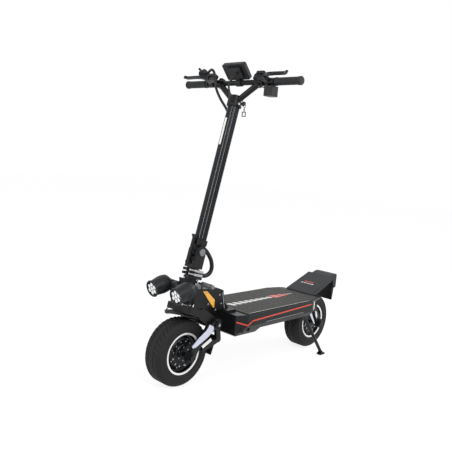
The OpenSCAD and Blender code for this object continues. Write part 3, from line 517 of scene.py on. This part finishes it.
def head_faces(start, rings, steps):
    """Faces of a screw head: rings of points one inside the next, shut at both ends."""
    faces = []
    for ring in range(rings - 1):
        for k in range(steps):
            after = (k + 1) % steps
            faces.append([start + ring * steps + k, start + ring * steps + after,
                          start + (ring + 1) * steps + after, start + (ring + 1) * steps + k])
    faces.append([start + k for k in range(steps)])
    faces.append([start + (rings - 1) * steps + k for k in range(steps)])
    return faces


def plate(name, outline, low, high, body, material):
    """An outline in X and Z, as thick as two places along Y say, with a fine bevel."""
    points = [(x, low, z) for x, z in outline] + [(x, high, z) for x, z in outline]
    made = piece(name, points, slab_faces(len(outline)), body, material, smooth=False)
    bevel = made.modifiers.new("edge_line", "BEVEL")
    bevel.width = PLATE_EDGE_MM * MM
    bevel.segments = 2
    bevel.limit_method = "ANGLE"
    bevel.angle_limit = math.radians(35)
    return made


def flat_plate(name, outline, low, high, body, slot, material, place=WORLD):
    """An outline in X and Y, as thick as two heights say."""
    points = [(x, y, low) for x, y in outline] + [(x, y, high) for x, y in outline]
    return piece(name, points, slab_faces(len(outline)), body, material, place, smooth=False)


def lathe(name, profile, centre, body, material, turns=96, closed=True, shape=None):
    """A profile of (radius, y) turned about the Y axis through centre; shape may move a point in or out."""
    points = []
    for k in range(turns):
        angle = math.tau * k / turns
        for radius, y in profile:
            r = shape(radius, y, angle) if shape else radius
            points.append((centre[0] + r * math.cos(angle), centre[1] + y, centre[2] + r * math.sin(angle)))
    return crease(piece(name, points, turned_faces(turns, len(profile), closed), body, material))


def turned_z(name, profile, place, body, material, turns=64):
    """A profile of (radius, z) turned about its own Z axis."""
    points = []
    for k in range(turns):
        a = math.tau * k / turns
        points += [(r * math.cos(a), r * math.sin(a), z) for r, z in profile]
    return crease(piece(name, points, turned_faces(turns, len(profile)), body, material, place))


def smooth_route(points, steps):
    """Points of a smooth curve through the chosen ones."""
    route = [Vector(p) for p in points]
    out = []
    for i in range(len(route) - 1):
        a, b, c, d = route[max(i - 1, 0)], route[i], route[i + 1], route[min(i + 2, len(route) - 1)]
        for k in range(steps):
            t = k / steps
            out.append(0.5 * (2 * b + (c - a) * t + (2 * a - 5 * b + 4 * c - d) * t * t
                              + (3 * b - a - 3 * c + d) * t ** 3))
    return out + [route[-1]]


def tube(name, points, radius, body, material, place=WORLD, sides=16, steps=6, ribs=None):
    """A round tube along a smooth route; ribs gives (pitch, depth) of a corrugated conduit."""
    route = smooth_route(points, steps)
    rings, length = [], 0
    side = None
    for i, spot in enumerate(route):
        if i:
            length += (spot - route[i - 1]).length
        ahead = (route[min(i + 1, len(route) - 1)] - route[max(i - 1, 0)]).normalized()
        if side is None:
            side = ahead.orthogonal().normalized()
        side = (side - ahead * side.dot(ahead)).normalized()
        r = radius
        if ribs:
            r -= ribs[1] * (0.5 - 0.5 * math.cos(math.tau * length / ribs[0]))
        other = ahead.cross(side)
        rings.append([spot + (side * math.cos(a) + other * math.sin(a)) * r
                      for a in (math.tau * k / sides for k in range(sides))])
    skin = [p for ring in rings for p in ring]
    faces = []
    for i in range(len(rings) - 1):
        for k in range(sides):
            after = (k + 1) % sides
            faces.append([i * sides + k, i * sides + after, (i + 1) * sides + after, (i + 1) * sides + k])
    faces += [list(range(sides - 1, -1, -1)), list(range(len(skin) - sides, len(skin)))]
    return crease(piece(name, skin, faces, body, material, place), 60)


def middle(node):
    """The middle of a CAD node's box, in millimetres."""
    low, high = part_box(node)
    return [c / MM for c in (low + high) / 2]


def turned_place(place, degrees):
    """A place turned about the Y axis by some degrees."""
    return Matrix.Translation(place) @ Matrix.Rotation(math.radians(degrees), 4, "Y")


# ---- wheels ----

# The sidewall as (radius, y), from the bead over two moulding rings to the shoulder.
SIDEWALL = [(84, 37.7), (86.3, 37.7), (88, 41), (94, 43.6), (99, 44.5), (100, 45.2), (102, 45.2), (103, 44.7),
            (112, 45), (118, 44.8), (119, 45.4), (121, 45.3), (122, 44.2), (126, 43), (130, 40.6), (134, 37)]
CROWN_R = 138
CROWN_HALF = 28
CROWN_DROP = 4
CROWN_CURVE = 1.6
# 9 to the power of the curve, so the whole drop is reached where the tread meets the sidewall, 9 mm on.
CROWN_RUN = 33.6
TREAD_TURNS = 480
TREAD_FROM_R = 132.5
GROOVE = (13, 15)
GROOVE_DEPTH = 4
SHOULDER_FROM = 18
SIPE_PITCH = 9
SHOULDER_SIPE = {"slant": 0.35, "width": 2.2, "depth": 2.6}
MIDDLE_SIPE = {"slant": 0.3, "width": 1.5, "depth": 1.6}
MIDDLE_BAND = 3
RIM_LIP = [(78.6, 39.0), (79.2, 41.0), (81.0, 42.0), (84.6, 42.4), (87.0, 41.6), (86.6, 40.0), (80, 38.6)]
HUB_SEAL = [(17, 43.2), (19, 43.8), (21, 43.2), (20.5, 39), (17.5, 39)]
# Each ring of hub screws as count, circle radius, distance from the middle plane and head radius.
HUB_SCREWS = ((12, 52, 35, 4.2), (8, 60, 31, 3.2), (6, 27, 39, 3))
DISC_FACES = (("outer", 50.5, 63.6), ("inner", 25, 38))
DISC_Y = (-50.2, -47.8)
VALVE_ROUTE = [(78, 18, 0), (66, 24, 0), (58, 30, 0)]
VALVE_TURN = 200


def tyre_profile():
    """One sidewall, a fine row of points across the tread, and the other sidewall."""
    tread = [(CROWN_R - CROWN_DROP * max(0, abs(y) - CROWN_HALF) ** CROWN_CURVE / CROWN_RUN, y)
             for y in range(34, -35, -2)]
    return SIDEWALL + tread + [(r, -y) for r, y in reversed(SIDEWALL)]


def tread_depth(radius, y, angle):
    """Two grooves round the tread, and slanted sipes across its shoulders and its middle."""
    if radius < TREAD_FROM_R:
        return radius
    across = abs(y)
    if GROOVE[0] <= across <= GROOVE[1]:
        return radius - GROOVE_DEPTH
    turn = math.degrees(angle)
    if across >= SHOULDER_FROM:
        sipe = SHOULDER_SIPE
        slanted = (turn + (across - SHOULDER_FROM) * sipe["slant"] * (1 if y > 0 else -1)) % SIPE_PITCH
        return radius - (sipe["depth"] if slanted < sipe["width"] else 0)
    sipe = MIDDLE_SIPE
    slanted = (turn + SIPE_PITCH / 2 + y * sipe["slant"]) % SIPE_PITCH
    return radius - (sipe["depth"] if slanted < sipe["width"] and across > MIDDLE_BAND else 0)


def hub_screws(name, count, radius, face, size, side, centre, body):
    """A ring of socket screws: each head a short cylinder with a hollow."""
    points, faces = [], []
    steps = 12
    head = ((size, 0), (size, 1.6), (size - 0.5, 2.2), (size * 0.55, 2.2), (size * 0.5, 0.8))
    for k in range(count):
        angle = math.tau * (k + 0.5) / count
        middle_x = centre[0] + radius * math.cos(angle)
        middle_z = centre[2] + radius * math.sin(angle)
        faces += head_faces(len(points), len(head), steps)
        for r, y in head:
            for s in range(steps):
                turn = math.tau * s / steps
                points.append((middle_x + r * math.cos(turn), centre[1] + face + side * y,
                               middle_z + r * math.sin(turn)))
    return crease(piece(name, points, faces, body, STEEL))


def wheel(end):
    """Tread, rim lips, screws, seals, disc faces and valve of one wheel."""
    body = f"{end}_wheel"
    centre = middle(f"{end}_hub")
    centre[1] = 0
    tyre = lathe(f"{end}_tyre_tread", tyre_profile(), centre, body, TYRE, turns=TREAD_TURNS,
                 closed=False, shape=tread_depth)
    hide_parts(f"{end}_tyre")
    for side, word in SIDES:
        lip = [(r, side * y) for r, y in RIM_LIP]
        # The lips' near-white colour is a painted highlight.
        lathe(f"{end}_rim_lip_{word}", lip, centre, body, LIP_PAINTED_HIGHLIGHT)
        for ring, (count, radius, face, size) in enumerate(HUB_SCREWS):
            name = f"{end}_hub_bolts_{word}_{ring + 1}"
            hub_screws(name, count, radius, side * face, size, side, centre, body)
        seal = [(r, side * y) for r, y in HUB_SEAL]
        lathe(f"{end}_hub_seal_{word}", seal, centre, body, GRIP)
    low, high = DISC_Y
    for word, inner, outer in DISC_FACES:
        face = [(inner, low), (outer, low), (outer, high), (inner, high)]
        lathe(f"{end}_disc_face_{word}", face, centre, body, STEEL)
    tube(f"{end}_valve", VALVE_ROUTE, 2.4, body, GRIP, turned_place(centre, VALVE_TURN),
         sides=10, steps=2)


for end in ("front", "rear"):
    wheel(end)

# ---- link arms ----

ARM_FACE = 85
INSET_T = 1.2
ARM_SHAPES = {
    "front": {
        "inset": [(372, 258), (350, 248), (344, 240), (346, 228), (374, 206), (440, 174), (456, 173),
                  (461, 181), (425, 211), (388, 234), (376, 247)],
        "strip": [(358, 199), (349, 187), (398, 163), (408, 174)],
    },
    "rear": {
        "inset": [(-318, 236), (-338, 228), (-362, 197), (-392, 150), (-398, 140), (-384, 146), (-358, 178),
                  (-330, 214)],
        "strip": [(-388, 210), (-402, 202), (-412, 178), (-408, 166), (-396, 182)],
    },
}
for end, shapes in ARM_SHAPES.items():
    for side, word in SIDES:
        low, high = sorted((side * ARM_FACE, side * (ARM_FACE + INSET_T)))
        plate(f"{end}_arm_inset_{word}", shapes["inset"], low, high, f"{end}_link", LAVENDER)
        plate(f"{end}_arm_strip_{word}", shapes["strip"], low, high, f"{end}_link", WHITE)

# ---- deck ----

MAT_TOP = 293
DECAL_T = 0.35
BAR_SLANT = 16
BAR_GAP = 9
WHITE_BARS = {"count": 8, "start": 172, "pitch": 37, "length": 24, "width": 38, "shrink": 2.5}
# The red bars as length and width.
RED_BARS = ((48, 40), (30, 30), (16, 20))
GREY_BAR = (30, 12)


def slanted_bar(x, length, y, width, slant):
    """A parallelogram along the deck, leaning forward."""
    return [(x, y - width / 2), (x - length, y - width / 2), (x - length - slant, y + width / 2),
            (x - slant, y + width / 2)]


def deck_bar(name, x, length, width, slot, material):
    """One slanted bar of film on the deck's mat."""
    outline = slanted_bar(x, length, 0, width, BAR_SLANT)
    flat_plate(name, outline, MAT_TOP, MAT_TOP + DECAL_T, "chassis", slot, material)


def deck_graphics():
    """Generic stripes: a row of white slanted bars that shrink toward the tail, then red ones."""
    place = WHITE_BARS["start"]
    for k in range(WHITE_BARS["count"]):
        width = WHITE_BARS["width"] - WHITE_BARS["shrink"] * k
        deck_bar(f"deck_bar_white_{k + 1}", place, WHITE_BARS["length"], width, "lever_silver", WHITE)
        place -= WHITE_BARS["pitch"]
    for k, (length, width) in enumerate(RED_BARS):
        deck_bar(f"deck_bar_red_{k + 1}", place, length, width, "stripe_red", RED)
        place -= length + BAR_GAP
    deck_bar("deck_bar_grey", place, *GREY_BAR, "lever_silver", GREY_FILM_AND_HIGHLIGHT)


deck_graphics()

FLANK_HALF = 150
NOSE_FROM, NOSE_TAPER = 205, (22, 57)
TAIL_FROM, TAIL_TAPER = -262, (32, 110)
EDGE_LINE = {"x": (-246, 192), "y": (138.6, 140.4)}
PINSTRIPE = [(84, 243.6), (-190, 246)]
STRIPE = [(259, 262), (208, 245.5), (205, 245.5), (176, 261), (-250, 277)]
TAIL_REFLECTOR = [(-280, 264), (-291, 264)]


def flank_y(x):
    """Half width of the deck's side, which tapers to the nose and to the tail."""
    if x > NOSE_FROM:
        return FLANK_HALF - (x - NOSE_FROM) * NOSE_TAPER[0] / NOSE_TAPER[1]
    return FLANK_HALF - max(0, TAIL_FROM - x) * TAIL_TAPER[0] / TAIL_TAPER[1]


def flank_strip(name, path, width, side, material, proud=1.2):
    """A thin strip that follows the deck's side, sunk 0.3 mm into it."""
    points = []
    for x, z in path:
        y = flank_y(x)
        points += [(x, side * (y + off), z + lift) for off, lift in (
            (-0.3, -width / 2), (proud, -width / 2), (proud, width / 2), (-0.3, width / 2))]
    faces = [[4 * i + k, 4 * i + (k + 1) % 4, 4 * i + 4 + (k + 1) % 4, 4 * i + 4 + k]
             for i in range(len(path) - 1) for k in range(4)]
    faces += [[3, 2, 1, 0], [len(points) - 4 + k for k in range(4)]]
    return piece(name, points, faces, "chassis", material, smooth=False)


for side, word in SIDES:
    low, high = sorted(side * y for y in EDGE_LINE["y"])
    tail_x, nose_x = EDGE_LINE["x"]
    outline = [(nose_x, low), (nose_x, high), (tail_x, high), (tail_x, low)]
    flat_plate(f"deck_edge_line_{word}", outline, MAT_TOP, MAT_TOP + DECAL_T, "chassis",
               "lever_silver", WHITE)
    flank_strip(f"flank_pinstripe_{word}", PINSTRIPE, 1.8, side, GREY_FILM_AND_HIGHLIGHT, 0.8)
    stripe = flank_strip(f"flank_stripe_{word}", STRIPE, 5.6, side, RED)
    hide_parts("side_stripes")
    flank_strip(f"tail_reflector_{word}", TAIL_REFLECTOR, 38, side, WHITE, 0.8)

# The footrest's slope starts at its foot, and the bars lie round a point some way up it.
FOOT_START = 299
FOOT_RUN = 98
FOOT_RISE = 0.3719
FOOT = turned_place((-444, 0, FOOT_START + FOOT_RUN * FOOT_RISE), 20.4)
for k in range(4):
    white_bar = slanted_bar(24, 5, -36 + 20 * k, 15, 3)
    flat_plate(f"foot_bar_white_{k + 1}", white_bar, 0, DECAL_T, "chassis", "lever_silver", WHITE, FOOT)
    red_bar = slanted_bar(10, 8, -26 + 14 * k, 10, 4)
    flat_plate(f"foot_bar_red_{k + 1}", red_bar, 0, DECAL_T, "chassis", "stripe_red", RED, FOOT)

TAIL_LENS = [(-600.6, 312), (-600.6, 366), (-599.4, 366), (-599.4, 312)]
plate("rear_lamp_lens", TAIL_LENS, -50, 50, "chassis", LAMP_RED)

# ---- cables, conduit and the fender's stays ----

CONDUIT_ROUTE = [(-24, 0, 580), (-36, 0, 578.4), (-60, 0, 567), (-92, 0, 540), (-107, 0, 510), (-102, 0, 486),
                 (-83, 0, 473), (-60, 0, 469.5), (-46, 0, 469.5), (-37, 0, 469.5)]
CONDUIT_R = 9.4
CONDUIT_RIBS = (4.2, 1.0)
ARCH_ROUTE = [(245.5, -181, 1289.7), (246, -173, 1290.5), (250, -158, 1300), (254, -140, 1304),
              (257, -122, 1290), (259, -112, 1262), (261, -98, 1222), (262, -68, 1180), (259, -36, 1144),
              (255, -27, 1128), (254, -22, 1126)]
TRUNK_ROUTE = [(261, 14, 1281), (268, 14, 1275), (276, 0, 1255), (284, -4, 1228), (284, 4, 1200),
               (282, 10, 1182), (278.3, 10, 1171.4), (270.4, 10, 1168.6)]
SWITCH_ROUTE = [(238, 100, 1247), (244, 116, 1236), (243, 142, 1226), (236, 163, 1222)]
FAR_LAMP_ROUTE = [(455, -52, 400), (474, -44, 372), (502, -14, 334), (516, -20, 318), (520, -24, 304),
                  (508, -18, 299), (492, -14, 303), (480, -12, 309)]
NEAR_LAMP_ROUTE = [(452, 66, 392), (450, 66, 370), (444, 56, 350), (440, 44, 334)]
FENDER_STAYS = ([(458, 60, 392), (470, 50, 312)], [(448, 58, 392), (452, 48, 312)])

conduit = tube("fold_conduit_corrugated", CONDUIT_ROUTE, CONDUIT_R, None, SHEATH, STEER,
               sides=20, steps=16, ribs=CONDUIT_RIBS)
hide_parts("fold_conduit")
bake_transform(conduit)


def cable(name, points, radius, body, sides=16):
    """A sheathed cable along a route that the object holds."""
    return tube(name, points, radius, body, SHEATH, sides=sides)


arch = cable("bar_cable_arch", ARCH_ROUTE, 5.5, "stem")
trunk = cable("bar_cable_trunk", TRUNK_ROUTE, 4.4, "stem")
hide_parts("bar_cables")
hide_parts("bar_cables")
cable("switch_cable", SWITCH_ROUTE, 2.0, "stem", sides=10)
cable("lamp_cable_far", FAR_LAMP_ROUTE, 2.2, "steering", sides=10)
cable("lamp_cable_near", NEAR_LAMP_ROUTE, 2.6, "steering", sides=10)
for k, route in enumerate(FENDER_STAYS):
    tube(f"fender_stay_{k + 1}", route, 3.2, "steering", ANODISED, sides=12, steps=2)

# ---- front fender ----

# Each row across the blade as x, crown height, half width and droop of its sides.
FENDER_ROWS = [(536, 309, 6, 0), (522, 311, 26, 2), (500, 311, 44, 6), (470, 308, 54, 11), (440, 302, 56, 13),
               (410, 294, 56, 13), (384, 284, 50, 11)]
FENDER_CUTS = (-1, -0.8, -0.4, 0, 0.4, 0.8, 1)
FENDER_T = 3


def fender_blade():
    """A pressed blade over the wheel: a blunt point ahead, sides that droop and a narrower tail."""
    points = []
    for lift in (0, FENDER_T):
        for x, z, half, droop in FENDER_ROWS:
            points += [(x, half * c, z + lift - droop * c * c) for c in FENDER_CUTS]
    across, count = len(FENDER_CUTS), len(FENDER_ROWS)
    layer = across * count
    faces = []
    for i in range(count - 1):
        for k in range(across - 1):
            a, b = i * across + k, (i + 1) * across + k
            faces += [[a, a + 1, b + 1, b], [layer + a, layer + b, layer + b + 1, layer + a + 1]]
        for k in (0, across - 1):
            a, b = i * across + k, (i + 1) * across + k
            faces.append([a, b, layer + b, layer + a])
    for i in (0, count - 1):
        for k in range(across - 1):
            a = i * across + k
            faces.append([a, a + 1, layer + a + 1, layer + a])
    blade = piece("front_fender_blade", points, faces, "steering", FENDER)
    crease(blade, 50)
    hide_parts("front_fender")


fender_blade()

# ---- screws, a painted edge highlight on the neck, and the stem's painted groove highlights and strip ----

NECK_SCREWS = [(281, 43, 362, 1), (268, 43, 322, 1), (300, 43, 300, 1), (346, 43, 330, 1)]
DECK_SCREWS = [(236, flank_y(236) - 8, 284, 1), (184, 132, 284, 1)]
NECK_EDGE_HIGHLIGHT = [(266, 370), (262, 368), (244, 300), (247, 299)]
STEM_FACE = 22
GROOVE_ACROSS = 13
GROOVE_HALF = 0.6
STEM_LINE_Z = (618, 1176)
STRIP_OUTLINE = [(21.9, -10), (22.3, -10), (22.3, 0), (21.9, 0)]
STRIP_Z = (1012, 1126)


def studs(name, spots, radius, depth, body, axis="Y"):
    """Round screw heads with a hollow in each; a spot is x, y, z and which way along the axis it faces."""
    points, faces = [], []
    steps = 14
    head = ((radius, -0.4), (radius, depth), (radius * 0.8, depth * 1.3), (radius * 0.5, depth * 1.3),
            (radius * 0.45, depth * 0.3))
    for x, y, z, way in spots:
        faces += head_faces(len(points), len(head), steps)
        for r, d in head:
            for k in range(steps):
                a, b = r * math.cos(math.tau * k / steps), r * math.sin(math.tau * k / steps)
                points.append({"Y": (x + a, y + way * d, z + b), "Z": (x + a, y + b, z + way * d)}[axis])
    return crease(piece(name, points, faces, body, STEEL))


for side, word in SIDES:
    studs(f"front_pivot_screw_{word}", [(322, side * 95, 250, side)], 6.5, 1.6, "steering")
studs("neck_screws", NECK_SCREWS, 4.4, 1.4, "chassis")
studs("deck_nose_screws", DECK_SCREWS, 3.4, 1.0, "chassis", "Z")
# A thin grey plate on the neck's side: a painted highlight along its edge.
plate("neck_edge_highlight_left", NECK_EDGE_HIGHLIGHT, 42.4, 43.6, "chassis", GREY_FILM_AND_HIGHLIGHT)

# Thin grey strips along the stem's grooves: painted highlights where the grooves catch the light.
low, high = STEM_FACE - 0.2, STEM_FACE + 0.25
for k, (across, along_y) in enumerate(((GROOVE_ACROSS, True), (-GROOVE_ACROSS, True),
                                       (GROOVE_ACROSS, False), (-GROOVE_ACROSS, False))):
    line = [(low, across - GROOVE_HALF), (high, across - GROOVE_HALF),
            (high, across + GROOVE_HALF), (low, across + GROOVE_HALF)]
    outline = line if along_y else [(b, a) for a, b in line]
    flat_plate(f"stem_groove_highlight_{k + 1}", outline, *STEM_LINE_Z, "stem", "bare_steel", GREY_FILM_AND_HIGHLIGHT, STEER)
flat_plate("stem_reflective_strip", STRIP_OUTLINE, *STRIP_Z, "stem", "lever_silver", WHITE, STEER)

# ---- lamps and horn ----

LAMP_X, LAMP_Y, LAMP_Z = 474, 72, 414
LAMP_TILT = 104.5
BEZEL = [(29, 83.2), (30.5, 85.4), (34.5, 85.4), (35.5, 83.2)]
LED_CELL = [(0.2, 84.1), (0.2, 85.6), (4.0, 85.2), (7.6, 84.6), (7.6, 84.1)]
CELL_COUNT = 7
CELL_CIRCLE = 17
HORN_PLACE = (470, -20, 402)
HORN_TILT = 100
HORN = [(0.3, -8), (22, -8), (27, -2), (27, 14), (24, 20), (13, 24), (0.3, 24)]

for side, word in SIDES:
    lamp = turned_place((LAMP_X, side * LAMP_Y, LAMP_Z), LAMP_TILT)
    turned_z(f"headlight_bezel_{word}", BEZEL, lamp, "steering", ABS)
    for k in range(CELL_COUNT):
        angle, r = (0, 0) if k == 0 else (math.tau * k / (CELL_COUNT - 1), CELL_CIRCLE)
        cell = lamp @ Matrix.Translation((r * math.cos(angle), r * math.sin(angle), 0))
        turned_z(f"headlight_cell_{word}_{k + 1}", LED_CELL, cell, "steering", LED, turns=20)
turned_z("horn_body", HORN, turned_place(HORN_PLACE, HORN_TILT), "steering", ABS)
